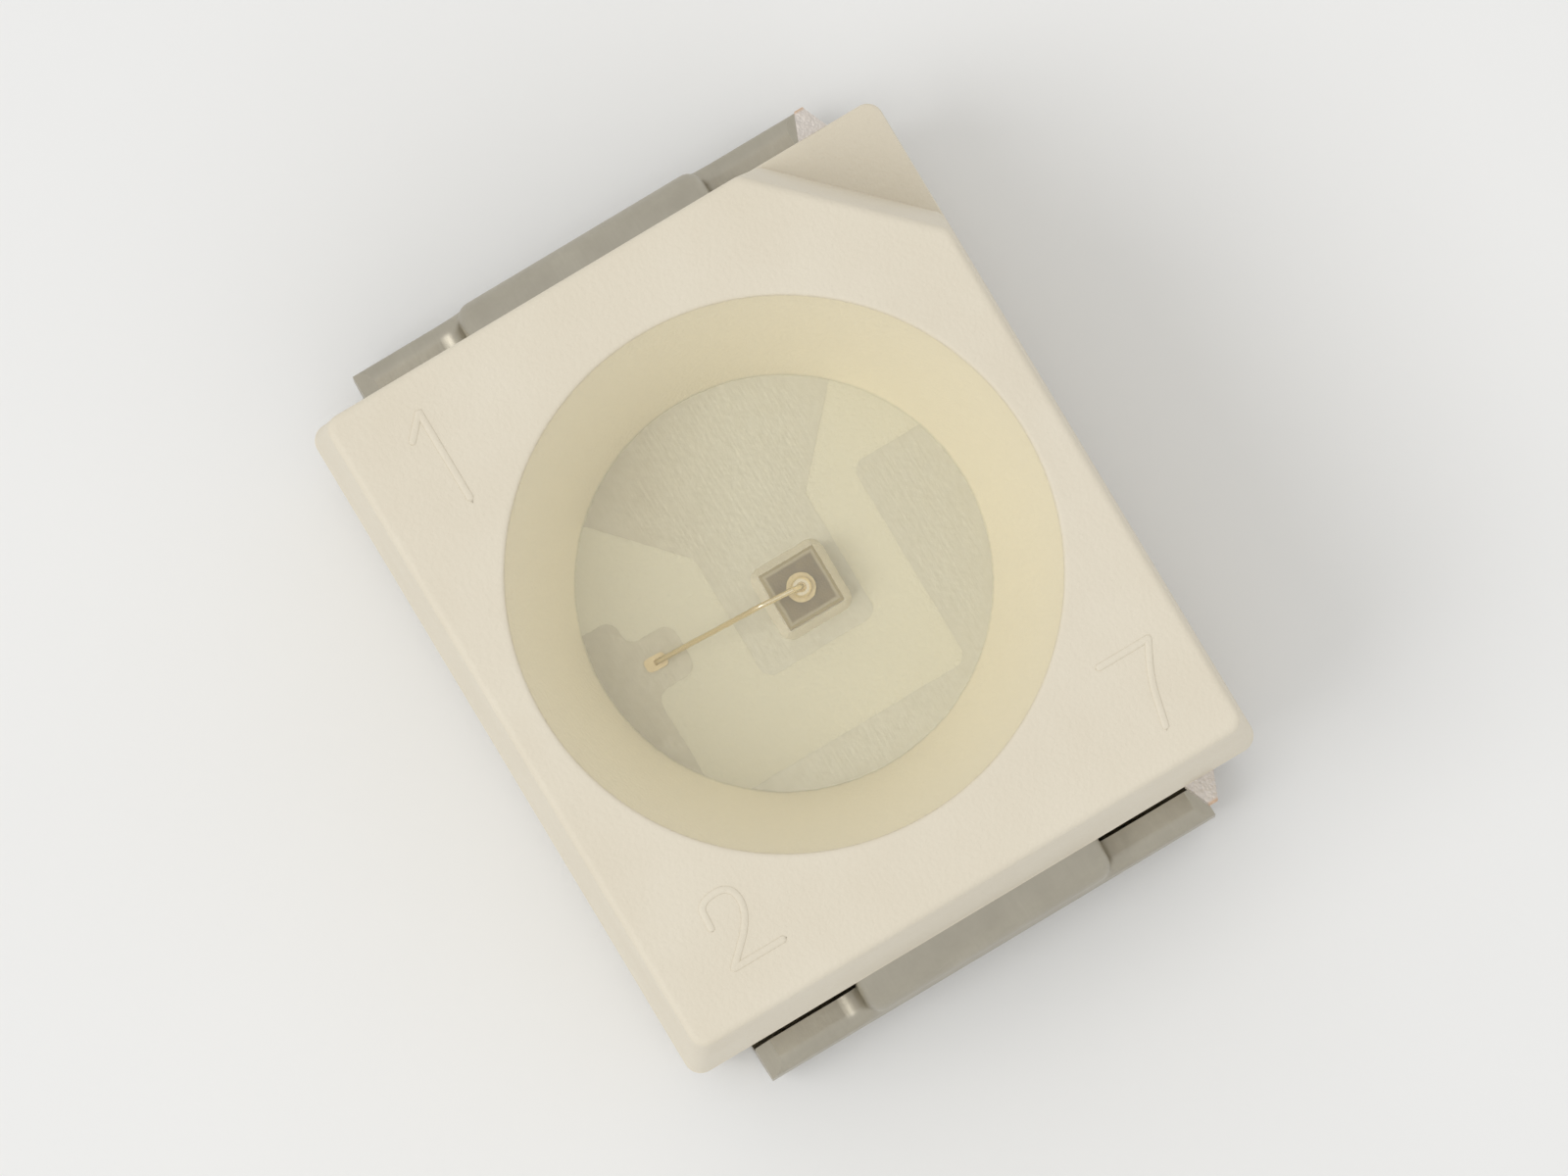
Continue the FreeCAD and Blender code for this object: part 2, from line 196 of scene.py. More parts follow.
def arc(centre, radius, first, last, steps):
    """Points on an arc, both ends in: centre + radius (cos a, sin a), a in degrees."""
    angle = np.radians(np.linspace(first, last, steps + 1))
    return np.asarray(centre) + radius * np.stack([np.cos(angle), np.sin(angle)], axis=1)


def lifted(points, height):
    """Plane points given one height."""
    return np.column_stack([points, np.full(len(points), height)])


def turned(profile, steps, y=0.0):
    """Rings of a turned surface: (r cos a, y + r sin a, z) for each (r, z) and angle a."""
    angle = np.arange(steps) * (2 * np.pi / steps)
    radius, height = np.asarray(profile, float).T
    rings = np.empty((len(radius), steps, 3))
    rings[..., 0] = radius[:, None] * np.cos(angle)
    rings[..., 1] = y + radius[:, None] * np.sin(angle)
    rings[..., 2] = height[:, None]
    return rings


def joined(rings):
    """Points and quads of a stack of closed rings: each quad joins point k of ring n and the
    point after it to the same two of ring n + 1."""
    count, points = rings.shape[:2]
    first = np.arange(count - 1)[:, None] * points
    here = np.arange(points)
    after = (here + 1) % points
    quads = np.stack([first + here, first + after, first + points + after,
                      first + points + here], axis=-1)
    return rings.reshape(-1, 3), quads.reshape(-1, 4)


def make_piece(name, patches, finish, sharp=30.0):
    """One closed mesh from (points, faces) patches: their shared borders and poles are welded,
    edges sharper than an angle stay crisp, and it rides on the body."""
    points, faces, start = [], [], 0
    for patch_points, patch_faces in patches:
        points.append(patch_points)
        faces.extend((patch_faces + start).tolist())
        start += len(patch_points)
    mesh = bpy.data.meshes.new(name)
    mesh.from_pydata(np.concatenate(points).tolist(), [], faces)
    shape = bmesh.new()
    shape.from_mesh(mesh)
    bmesh.ops.remove_doubles(shape, verts=shape.verts, dist=WELD)
    if shape.calc_volume(signed=True) < 0:
        bmesh.ops.reverse_faces(shape, faces=shape.faces)
    shape.to_mesh(mesh)
    shape.free()
    mesh.shade_smooth()
    mesh.set_sharp_from_angle(angle=math.radians(sharp))
    mesh.materials.append(finish)
    piece = bpy.data.objects.new(name, mesh)
    bpy.context.scene.collection.objects.link(piece)
    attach(piece, "root")
    return piece


def plain_corner(half_x, half_y, radius):
    """A rounded corner: a quarter arc, its first and last points repeated, so that it has as
    many points as a bevelled one."""
    before, bend_steps, after = CORNER_STEPS
    bend = arc((half_x - radius, half_y - radius), radius, 0, 90, bend_steps)
    return np.concatenate([np.repeat(bend[:1], before, 0), bend, np.repeat(bend[-1:], after, 0)])


def reaching_corner(half_x, half_y, radius, reach):
    """A rounded corner: a straight run from a distance before the corner point, a quarter arc,
    and a straight run to the same distance after it."""
    before, bend_steps, after = CORNER_STEPS
    bend = arc((half_x - radius, half_y - radius), radius, 0, 90, bend_steps)
    start = straight((half_x, half_y - reach), bend[0], before)
    end = straight((half_x - reach, half_y), bend[-1], after)[::-1]
    return np.concatenate([start, bend, end])


def bend_tangent(radius):
    """From the point of a 45 degree bend to where its round starts: radius tan 22.5 degrees."""
    return radius * math.tan(math.radians(22.5))


def bevelled_corner(half_x, half_y, leg, radius):
    """A corner cut off at 45 degrees: an eighth arc, the straight cut and an eighth arc."""
    before, cut_steps, after = CORNER_STEPS
    tangent = bend_tangent(radius)
    start = arc((half_x - radius, half_y - leg - tangent), radius, 0, 45, before)
    end = arc((half_x - leg - tangent, half_y - radius), radius, 45, 90, after)
    return np.concatenate([start[:-1], straight(start[-1], end[0], cut_steps), end])


class Body:
    """The housing's closed rings, from its sizes. The crests of the parting flash and of the
    mould numbers lie on the packed box, and the sides and the top that much further in."""

    # Profile of the stub's torn end, from its hollow middle to its edge, in shares of the stub's
    # radius and, upwards from its tip, of its height.
    torn_end = ((0, 0.25), (0.6, 0), (1, 0.1))

    def __init__(self, sizes):
        self.sizes = sizes
        self.half_length = HOUSING_HIGH.x - sizes.flash
        self.half_width = HOUSING_HIGH.y - sizes.flash
        self.base = HOUSING_LOW.z
        self.top = HOUSING_HIGH.z - sizes.number_rise
        self.ledge = FRAME_TOP + sizes.mark_rise
        self.mark_reach = self.mark_leg(self.ledge) + bend_tangent(sizes.mark_radius)

    def inset(self, height):
        """How far the drafted side lies inside the parting outline: its distance from the
        parting line times the tangent of the draft."""
        above = height > FRAME_TOP
        draft = self.sizes.upper_draft if above else self.sizes.lower_draft
        return abs(height - FRAME_TOP) * math.tan(draft)

    def mark_leg(self, height):
        """The cathode bevel's leg at a height: the leg on the top face, and twice what a side
        widens down to there, less what the bevel's own slope takes back."""
        widened = self.inset(self.top) - self.inset(height)
        taken_back = (self.top - height) * math.tan(self.sizes.mark_draft) * math.sqrt(2)
        return self.sizes.mark_leg + 2 * widened - taken_back

    def ring(self, height, corner="plain", shrink=0.0, depth=0.0, width=None, step=None):
        """One ring round the body. From the middle of an end it goes along the pocket's back,
        out along the pocket's side, along the end face, round the corner and along the side
        to the middle; depth and width are the pocket's, and step is how deep the point on its
        side lies. The other three quarters mirror it."""
        sizes = self.sizes
        half_x = self.half_length - self.inset(height) - shrink
        half_y = self.half_width - self.inset(height) - shrink
        neck = sizes.pocket_neck
        width = width or neck
        pocket = half_x - min(depth, sizes.pocket_depth if step is None else step)
        shoulder = sizes.pocket_foot - sizes.pocket_bevel
        plain = marked = plain_corner(half_x, half_y, sizes.corner_radius - shrink)
        if corner == "reaching":
            marked = reaching_corner(half_x, half_y, sizes.corner_radius, self.mark_reach)
        elif corner == "bevelled":
            leg = self.mark_leg(height) - shrink * (2 - math.sqrt(2))
            marked = bevelled_corner(half_x, half_y, leg, sizes.mark_radius - shrink)
        middle = (0, half_y)
        long_side = [straight((sizes.pedestal_length / 2, half_y), middle, SIDE_STEPS), [middle]]
        quarters = []
        for bend in (plain, marked):
            stops = [((half_x - depth, 0), BACK_STEPS), ((half_x - depth, neck), 1),
                     ((half_x - depth, min(width, neck + sizes.pocket_round)), 1),
                     ((half_x - depth, width), 1), ((pocket, width), 1), ((half_x, width), 1),
                     ((half_x, min(max(width, shoulder), bend[0, 1])), FACE_STEPS)]
            ends = [place for place, _ in stops[1:]] + [bend[0]]
            end_side = [straight(place, end, steps) for (place, steps), end in zip(stops, ends)]
            quarters.append(np.concatenate(end_side + [bend] + long_side))
        quarter, marked_quarter = quarters
        turns = [quarter[:-1], (marked_quarter * (-1, 1))[::-1][:-1],
                 (quarter * (-1, -1))[:-1], (quarter * (1, -1))[::-1][:-1]]
        return lifted(np.concatenate(turns), height)

    def lower_rings(self):
        """From the edge of the pedestal's underside out and up to the parting line."""
        sizes = self.sizes
        rise = sizes.recess_height - self.base
        inner_low = sizes.pedestal_length / 2
        inner_high = inner_low + rise * math.tan(sizes.pedestal_draft)
        foot, bevel = sizes.pocket_foot, sizes.pocket_bevel
        neck, curve, depth = sizes.pocket_neck, sizes.pocket_round, sizes.pocket_depth
        shoulder = sizes.pocket_shoulder
        deep_low = self.half_length - self.inset(self.base) - inner_low
        deep_high = self.half_length - self.inset(sizes.recess_height) - inner_high
        base_ring = self.ring(self.base, depth=deep_low, width=foot, step=0.0)
        pedestal_ring = base_ring.copy()
        pedestal_ring[:, 0] = np.clip(base_ring[:, 0], -inner_low, inner_low)
        rings = [pedestal_ring, base_ring,
                 self.ring(sizes.recess_height, depth=deep_high, width=foot),
                 self.ring(sizes.recess_height, depth=depth, width=foot),
                 self.ring(shoulder - bevel, depth=depth, width=foot),
                 self.ring(shoulder, depth=depth, width=foot - bevel)]
        for across, height in arc((neck + curve, shoulder + curve), curve, -90, -180, ROUND_STEPS):
            rings.append(self.ring(height, depth=depth, width=across))
        return rings + [self.ring(FRAME_TOP - 2 * sizes.flash, depth=depth),
                        self.ring(FRAME_TOP, depth=depth), self.ring(FRAME_TOP)]

    def upper_rings(self):
        """From the parting line up, over the top edge in a quarter arc and in towards the cup.
        A ring close under the round and one close inside it keep the side and the top flat."""
        sizes = self.sizes
        radius = sizes.top_radius
        under_round, inside_round = 1.5 * radius, 1.4 * radius
        rings = [self.ring(FRAME_TOP, "reaching", shrink=-sizes.flash),
                 self.ring(FRAME_TOP + 2 * sizes.flash, "reaching"),
                 self.ring(self.ledge, "reaching"), self.ring(self.ledge, "bevelled"),
                 self.ring(self.top - under_round, "bevelled")]
        for out, up in arc((0, 0), radius, 0, 90, EDGE_STEPS):
            rings.append(self.ring(self.top - radius + up, "bevelled", shrink=radius - out))
        return rings + [self.ring(self.top, "bevelled", shrink=inside_round)]

    def cup_rings(self, points):
        """Round the rim in a quarter ellipse that ends on the resin's edge, down the cone and
        over the floor to its middle. A ring close outside the rim and one close inside the
        floor's edge keep the top and the floor flat."""
        sizes = self.sizes
        floor = FRAME_TOP - sizes.floor_drop
        rim_radius = RESIN_HIGH.x + sizes.rim_break
        outside_rim = rim_radius + 0.6 * sizes.rim_break
        inside_floor = 0.98 * sizes.floor_radius
        rim = arc((0, 0), 1, 90, 180, ROUND_STEPS) * (sizes.rim_break, self.top - RESIN_HIGH.z)
        wall = np.linspace((RESIN_HIGH.x, RESIN_HIGH.z), (sizes.floor_radius, floor),
                           WALL_STEPS + 1)[1:]
        profile = [(outside_rim, self.top), *(rim + (rim_radius, RESIN_HIGH.z)), *wall,
                   (inside_floor, floor), (0.0, floor)]
        return turned(profile, points)

    def underside(self, pedestal_ring):
        """The pedestal's flat underside with round openings, and what is pressed into it: the
        gate's dimple with its stub, and two ejector marks."""
        sizes = self.sizes
        reach = sizes.ejector_reach
        gate_floor = self.base + sizes.gate_depth
        stub_tip = gate_floor - sizes.stub_height
        stub_foot, gate_foot = 1.1 * sizes.stub_radius, 0.96 * sizes.gate_radius
        gate = [(across * sizes.stub_radius, stub_tip + up * sizes.stub_height)
                for across, up in self.torn_end]
        gate += [(stub_foot, gate_floor), (gate_foot, gate_floor), (sizes.gate_radius, self.base)]
        mark_floor = self.base + sizes.ejector_depth
        mark_foot = 0.98 * sizes.ejector_radius
        mark = [(0, mark_floor), (mark_foot, mark_floor), (sizes.ejector_radius, self.base)]
        pressed = [turned(gate, GATE_STEPS), turned(mark, MARK_STEPS, y=reach),
                   turned(mark, MARK_STEPS, y=-reach)]
        outer = pedestal_ring[:, :2]
        apart = np.linalg.norm(outer - np.roll(outer, 1, 0), axis=1) > WELD
        loops = [outer[apart]] + [rings[-1, :, :2] for rings in pressed]
        flat = flat_face(loops, self.base)
        return [flat] + [joined(rings) for rings in pressed]


def flat_face(loops, height):
    """Triangles between an outer loop and the round loops in it, facing down: all of a Delaunay
    mesh of the loops, but those with three corners within one round loop's radius."""
    whole_mesh, same_point = 0, 1e-7
    points, edges, start = [], [], 0
    for loop in loops:
        here = np.arange(len(loop))
        edges.extend(np.column_stack([here, np.roll(here, -1)]) + start)
        points.extend(loop / MM)
        start += len(loop)
    found, _, triangles, *_ = delaunay_2d_cdt([Vector(place) for place in points],
                                              [tuple(map(int, edge)) for edge in edges],
                                              [], whole_mesh, same_point)
    plane = np.array([tuple(place) for place in found]) * MM
    triangles = np.array([tuple(corners) for corners in triangles])
    open_there = np.zeros(len(triangles), bool)
    for loop in loops[1:]:
        centre = loop.mean(axis=0)
        radius = np.linalg.norm(loop - centre, axis=1).max()
        inside = np.linalg.norm(plane - centre, axis=1) < radius + WELD
        open_there |= inside[triangles].all(axis=1)
    kept = triangles[~open_there]
    a, b, c = (plane[kept[:, corner]] for corner in range(3))
    upward = (b - a)[:, 0] * (c - a)[:, 1] - (b - a)[:, 1] * (c - a)[:, 0] > 0
    kept[upward] = kept[upward][:, ::-1]
    return lifted(plane, height), kept


def smooth_path(points, steps):
    """Quadratic B-spline through the middles of the runs, ends held; a point given twice makes
    a corner: p(t) = ((1-t)^2 a + (1 + 2t - 2t^2) b + t^2 c) / 2 for each three in a row."""
    points = np.asarray(points, float)
    points = np.concatenate([2 * points[:1] - points[1:2], points, 2 * points[-1:] - points[-2:-1]])
    t = (np.arange(steps) / steps)[None, :, None]
    a, b, c = points[:-2, None], points[1:-1, None], points[2:, None]
    curve = ((1 - t) ** 2 * a + (1 + 2 * t - 2 * t ** 2) * b + t ** 2 * c) / 2
    return np.concatenate([curve.reshape(-1, 2), (points[-2:-1] + points[-1:]) / 2])


def raised_stroke(path, half_width, rise, base, seat):
    """A rounded bead along a plane path: across the path half_width cos a, up rise sin a above
    the base and seat sin a below it, drawn in to a point at both ends over a half width."""
    shortest_run = 1e-3 * half_width
    run = np.linalg.norm(np.diff(path, axis=0), axis=1)
    path = path[np.concatenate([[True], run > shortest_run])]
    along = np.gradient(path, axis=0)
    along /= np.linalg.norm(along, axis=1)[:, None]
    across = np.stack([-along[:, 1], along[:, 0]], axis=1)
    done = np.concatenate([[0], np.cumsum(np.linalg.norm(np.diff(path, axis=0), axis=1))])
    end = np.minimum(done, done[-1] - done) / half_width
    taper = np.sqrt(np.clip(1 - (1 - np.clip(end, 0, 1)) ** 2, 0, 1))[:, None]
    angle = np.arange(BEAD_STEPS) * (2 * np.pi / BEAD_STEPS)
    side = half_width * np.cos(angle) * taper
    height = np.sin(angle)
    height = base + np.where(height > 0, rise * height, seat * height) * taper
    rings = np.empty((len(path), len(angle), 3))
    rings[..., :2] = path[:, None] + across[:, None] * side[..., None]
    rings[..., 2] = height
    return joined(rings)


def feed(tree, socket, value):
    """Links a socket to another node's output, or sets its own value."""
    if isinstance(value, bpy.types.NodeSocket):
        tree.links.new(value, socket)
    else:
        socket.default_value = value


def add(tree, kind, inputs=None, **settings):
    """A node; each input is a value or another node's output."""
    node = tree.nodes.new(kind)
    for name, value in settings.items():
        setattr(node, name, value)
    for name, value in (inputs or {}).items():
        feed(tree, node.inputs[name], value)
    return node


def mixed(tree, factor, first, second):
    """A colour between two, by a factor."""
    node = add(tree, "ShaderNodeMix", {0: factor, 6: first, 7: second}, data_type="RGBA")
    return node.outputs[2]


def ranged(tree, value, low, high, to_low, to_high):
    """A value carried from one range to another, and held at its ends."""
    node = add(tree, "ShaderNodeMapRange", {"Value": value, "From Min": low, "From Max": high,
                                            "To Min": to_low, "To Max": to_high})
    return node.outputs[0]


def opaque(rgb, light=1.0):
    """A colour times its light, with full alpha."""
    return (*(light * part for part in rgb), 1.0)


def surface_group():
    """Shader node group: a cloudy mask and a fine grain, each at its own size. Both are noise,
    whose usual span is carried to 0 and 1."""
    group = bpy.data.node_groups.get("cloud and grain")
    if group:
        return group
    group = bpy.data.node_groups.new("cloud and grain", "ShaderNodeTree")
    for name, way, kind in (("Position", "INPUT", "NodeSocketVector"),
                            ("Cloud Size", "INPUT", "NodeSocketFloat"),
                            ("Grain Size", "INPUT", "NodeSocketFloat"),
                            ("Cloud", "OUTPUT", "NodeSocketFloat"),
                            ("Grain", "OUTPUT", "NodeSocketFloat")):
        group.interface.new_socket(name, in_out=way, socket_type=kind)
    start = group.nodes.new("NodeGroupInput")
    end = group.nodes.new("NodeGroupOutput")
    for size, result in (("Cloud Size", "Cloud"), ("Grain Size", "Grain")):
        scale = add(group, "ShaderNodeMath", {0: 1.0, 1: start.outputs[size]},
                    operation="DIVIDE").outputs[0]
        noise = add(group, "ShaderNodeTexNoise",
                    {"Vector": start.outputs["Position"], "Scale": scale, "Detail": 4.0,
                     "Roughness": 0.55}).outputs[0]
        feed(group, end.inputs[result], ranged(group, noise, *NOISE_SPAN, 0.0, 1.0))
    return group


class Finish:
    """A material in the making: its tree, shader, place on the piece and cloud and grain."""

    def __init__(self, name, cloud_size, grain_size):
        self.material = bpy.data.materials.new(name)
        self.material.use_nodes = True
        self.tree = self.material.node_tree
        self.tree.nodes.clear()
        self.place = add(self.tree, "ShaderNodeTexCoord").outputs["Object"]
        self.shader = add(self.tree, "ShaderNodeBsdfPrincipled")
        self.output = add(self.tree, "ShaderNodeOutputMaterial",
                          {"Surface": self.shader.outputs[0]})
        marks = add(self.tree, "ShaderNodeGroup", {"Position": self.place,
                                                   "Cloud Size": cloud_size,
                                                   "Grain Size": grain_size},
                    node_tree=surface_group()).outputs
        self.cloud = marks["Cloud"]
        self.grain = marks["Grain"]

    def put(self, **inputs):
        """Sets the shader's inputs; an underscore in a name stands for a space."""
        for name, value in inputs.items():
            feed(self.tree, self.shader.inputs[name.replace("_", " ")], value)

    def bump(self, height, depth):
        """Relief of a real depth from a height between 0 and 1."""
        self.put(Normal=add(self.tree, "ShaderNodeBump",
                            {"Height": height, "Distance": depth, "Strength": 1.0}).outputs[0])

    def clouded(self, rgb, light):
        """A colour, with clouds that have only a share of its light."""
        return mixed(self.tree, self.cloud, opaque(rgb, light), opaque(rgb))

    def grained(self, low, high):
        """A value that the grain carries from low to high."""
        return ranged(self.tree, self.grain, 0.0, 1.0, low, high)

    def axis(self, index):
        """One coordinate of the place on the piece."""
        split = add(self.tree, "ShaderNodeSeparateXYZ", {0: self.place})
        return split.outputs[index]

    def math(self, operation, first, second=0.0):
        """Result of one step of arithmetic."""
        return add(self.tree, "ShaderNodeMath", {0: first, 1: second},
                   operation=operation).outputs[0]


def moulded_plastic(sizes):
    """Matt cream plastic: faint clouds of filler, and the eroded mould's fine grain. Inside the
    cup, the wall has painted light, a lighter copy of the plastic, lighter still at its foot,
    and the floor has painted shade, a darker copy."""
    finish = Finish("moulded plastic", cloud_size=0.45 * MM, grain_size=0.022 * MM)
    tree = finish.tree
    blur, wall_foot = 0.01 * MM, 0.03 * MM
    outer = mixed(tree, finish.cloud, opaque(sizes.plastic_shade), opaque(sizes.plastic))
    from_axis = finish.math("SQRT", finish.math(
        "ADD", finish.math("MULTIPLY", finish.axis(0), finish.axis(0)),
        finish.math("MULTIPLY", finish.axis(1), finish.axis(1))))
    height = finish.axis(2)
    within = ranged(tree, from_axis, RESIN_HIGH.x, RESIN_HIGH.x + blur, 1.0, 0.0)
    below = ranged(tree, height, RESIN_HIGH.z - blur, RESIN_HIGH.z, 1.0, 0.0)
    above = ranged(tree, height, FRAME_TOP - 2 * blur, FRAME_TOP - blur, 0.0, 1.0)
    on_wall = ranged(tree, height, FRAME_TOP, FRAME_TOP + wall_foot, 0.0, 1.0)
    cup = finish.math("MULTIPLY", finish.math("MULTIPLY", within, below), above)
    # Painted light and shade: the wall gets a lighter copy of the plastic, lighter still towards
    # its foot, and the floor a darker copy.
    up_wall = ranged(tree, height, FRAME_TOP, RESIN_HIGH.z, 0.0, 1.0)
    wall = mixed(tree, up_wall, opaque(sizes.cup_low_painted_light), opaque(sizes.cup))
    painted_cup_tones = mixed(tree, on_wall, opaque(sizes.cup_floor_painted_shade), wall)
    finish.put(Base_Color=mixed(tree, cup, outer, painted_cup_tones), Roughness=finish.grained(0.48, 0.62),
               IOR=1.5)
    finish.bump(finish.grain, depth=0.0016 * MM)
    return finish.material


def cast_resin(sizes):
    """Clear resin with a little haze: faintly yellow, smooth, with slow ripples on its top. It
    bends what is seen through it, and lets light that falls or bounces into it go straight."""
    finish = Finish("cast resin", cloud_size=0.5 * MM, grain_size=0.16 * MM)
    tree = finish.tree
    finish.put(Base_Color=finish.clouded(sizes.tint, 0.985), Roughness=0.04, IOR=1.52,
               Transmission_Weight=1.0 - sizes.haze)
    finish.bump(finish.grain, depth=0.0004 * MM)
    path = add(tree, "ShaderNodeLightPath").outputs
    lighting = finish.math("MAXIMUM", path["Is Shadow Ray"], path["Is Diffuse Ray"])
    passing = add(tree, "ShaderNodeBsdfTransparent", {"Color": opaque(sizes.tint)})
    blend = add(tree, "ShaderNodeMixShader", {0: lighting, 1: finish.shader.outputs[0],
                                              2: passing.outputs[0]})
    tree.links.new(blend.outputs[0], finish.output.inputs["Surface"])
    return finish.material


def plated_lead(sizes):
    """Rolled strip: silver inside the cup, with painted shade darkening it towards the wire's
    finger, dull tin outside, bare metal at the cut tips, and fine lines along it."""
    finish = Finish("plated lead", cloud_size=0.22 * MM, grain_size=0.03 * MM)
    tree = finish.tree
    through_wall = (1.35 * MM, 1.50 * MM)
    under_head = (FRAME_TOP - 0.25 * MM, FRAME_TOP - 0.18 * MM)
    cut_face = (FOOT_TIP + 0.004 * MM, FOOT_TIP + 0.012 * MM)
    line_width, line_stretch = 0.012 * MM, (0.06, 1.0, 0.06)
    # Painted shade on the silver, along this way and over this span: darker on the side of the
    # cup's floor that the wall shades from the lamp.
    painted_shade_way, painted_shade_span = (0.40, 0.92, 0.0), (-0.60 * MM, -0.15 * MM)
    smoother_outside = 0.10
    from_middle = finish.math("ABSOLUTE", finish.axis(0))
    past_end = ranged(tree, from_middle, *through_wall, 0.0, 1.0)
    below_head = ranged(tree, finish.axis(2), *under_head, 1.0, 0.0)
    outside = finish.math("MAXIMUM", past_end, below_head)
    at_tip = ranged(tree, from_middle, *cut_face, 1.0, 0.0)
    bare = finish.math("MULTIPLY", at_tip, below_head)
    stretched = add(tree, "ShaderNodeVectorMath", {0: finish.place, 1: line_stretch},
                    operation="MULTIPLY").outputs[0]
    rolled = add(tree, "ShaderNodeTexNoise",
                 {"Vector": stretched, "Scale": 1 / line_width, "Detail": 2.0}).outputs[0]
    worn = finish.math("MULTIPLY", finish.cloud, ranged(tree, rolled, *NOISE_SPAN, 0.6, 1.0))
    tin = mixed(tree, worn, opaque(sizes.tarnish), opaque(sizes.tin))
    # Painted shade: across and dull darken the silver on the side of the floor that the wall shades
    # from the lamp, a little unevenly by the clouds.
    across = add(tree, "ShaderNodeVectorMath", {0: finish.place, 1: painted_shade_way},
                 operation="DOT_PRODUCT").outputs["Value"]
    dull = finish.math("MULTIPLY", ranged(tree, across, *painted_shade_span, 1.0, 0.0),
                       ranged(tree, finish.cloud, 0.0, 1.0, 0.8, 1.0))
    silver = mixed(tree, dull, opaque(sizes.silver), opaque(sizes.painted_shade_silver))
    plated = mixed(tree, outside, silver, tin)
    finish.put(Base_Color=mixed(tree, bare, plated, opaque(sizes.shear)), Metallic=1.0,
               Roughness=finish.math("SUBTRACT", finish.grained(0.48, 0.56),
                                     finish.math("MULTIPLY", outside, smoother_outside)))
    finish.bump(finish.math("ADD", finish.grain, rolled), depth=0.0004 * MM)
    return finish.material


def sheared_bar(sizes):
    """Cut-off bar: tin on its sides, bare copper alloy showing at the sheared tip."""
    finish = Finish("sheared bar", cloud_size=0.10 * MM, grain_size=0.02 * MM)
    tree = finish.tree
    cut_face = (HOUSING_HIGH.x + 0.105 * MM, HOUSING_HIGH.x + 0.120 * MM)
    tip = ranged(tree, finish.math("ABSOLUTE", finish.axis(0)), *cut_face, 0.0, 1.0)
    finish.put(Base_Color=mixed(tree, tip, opaque(sizes.bright_tin), opaque(sizes.shear)),
               Metallic=1.0, Roughness=finish.grained(0.30, 0.50))
    finish.bump(finish.grain, depth=0.0015 * MM)
    return finish.material


def die_surface(sizes):
    """Die: dark and faintly clouded, with a paler sawn border and sides, and a fine grain."""
    finish = Finish("semiconductor die", cloud_size=0.05 * MM, grain_size=0.008 * MM)
    middle = (DIE_LOW + DIE_HIGH) / 2
    half = (DIE_HIGH.x - DIE_LOW.x) / 2
    border = (half - 0.028 * MM, half - 0.020 * MM)
    from_x = finish.math("ABSOLUTE", finish.math("SUBTRACT", finish.axis(0), middle.x))
    from_y = finish.math("ABSOLUTE", finish.math("SUBTRACT", finish.axis(1), middle.y))
    outward = finish.math("MAXIMUM", from_x, from_y)
    street = ranged(finish.tree, outward, *border, 0.0, 1.0)
    finish.put(Base_Color=mixed(finish.tree, street, finish.clouded(sizes.die, 0.7),
                                opaque(sizes.die_street)),
               Roughness=finish.grained(0.30, 0.45), IOR=1.8)
    finish.bump(finish.grain, depth=0.0006 * MM)
    return finish.material


def silver_glue(sizes):
    """Glue full of silver flakes: grey, speckled, rough."""
    finish = Finish("silver glue", cloud_size=0.04 * MM, grain_size=0.006 * MM)
    tree = finish.tree
    flakes = ranged(tree, finish.grain, 0.4, 0.9, 0.0, 0.4)
    finish.put(Base_Color=mixed(tree, finish.grain, opaque(sizes.glue, 0.88), opaque(sizes.glue)),
               Metallic=flakes, Roughness=ranged(tree, finish.cloud, 0.0, 1.0, 0.40, 0.60))
    finish.bump(finish.grain, depth=0.0020 * MM)
    return finish.material


def contact_gold(sizes):
    """The die's contact: gold with a faint grain."""
    finish = Finish("contact gold", cloud_size=0.03 * MM, grain_size=0.007 * MM)
    finish.put(Base_Color=finish.clouded(sizes.contact, 0.85), Metallic=1.0,
               Roughness=finish.grained(0.40, 0.55))
    finish.bump(finish.grain, depth=0.0005 * MM)
    return finish.material


def wire_gold(sizes):
    """Drawn gold wire, bright, and dull where its end is squashed on the finger."""
    finish = Finish("wire gold", cloud_size=0.05 * MM, grain_size=0.007 * MM)
    over_finger = (FRAME_TOP + 0.02 * MM, FRAME_TOP + 0.04 * MM)
    rougher_end = 0.35
    squashed = ranged(finish.tree, finish.axis(2), *over_finger, 1.0, 0.0)
    finish.put(Base_Color=mixed(finish.tree, squashed, opaque(sizes.gold), opaque(sizes.contact)),
               Metallic=1.0,
               Roughness=finish.math("ADD", finish.grained(0.12, 0.20),
                                     finish.math("MULTIPLY", squashed, rougher_end)))
    finish.bump(finish.cloud, depth=0.0003 * MM)
    return finish.material


def floor_finish(stage):
    """Plain pale floor with barely seen clouds."""
    finish = Finish("pale floor", cloud_size=3.0 * MM, grain_size=0.05 * MM)
    finish.put(Base_Color=finish.clouded(stage.floor, 0.985), Roughness=0.9)
    return finish.material


MADE = {}


def finish_of(maker, sizes):
    """A material made once and then reused."""
    if maker not in MADE:
        MADE[maker] = maker(sizes)
    return MADE[maker]


def dress(node_name, material):
    """Gives a node of the packed model its material."""
    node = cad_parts[node_name]
    node.data.materials.clear()
    node.data.materials.append(material)


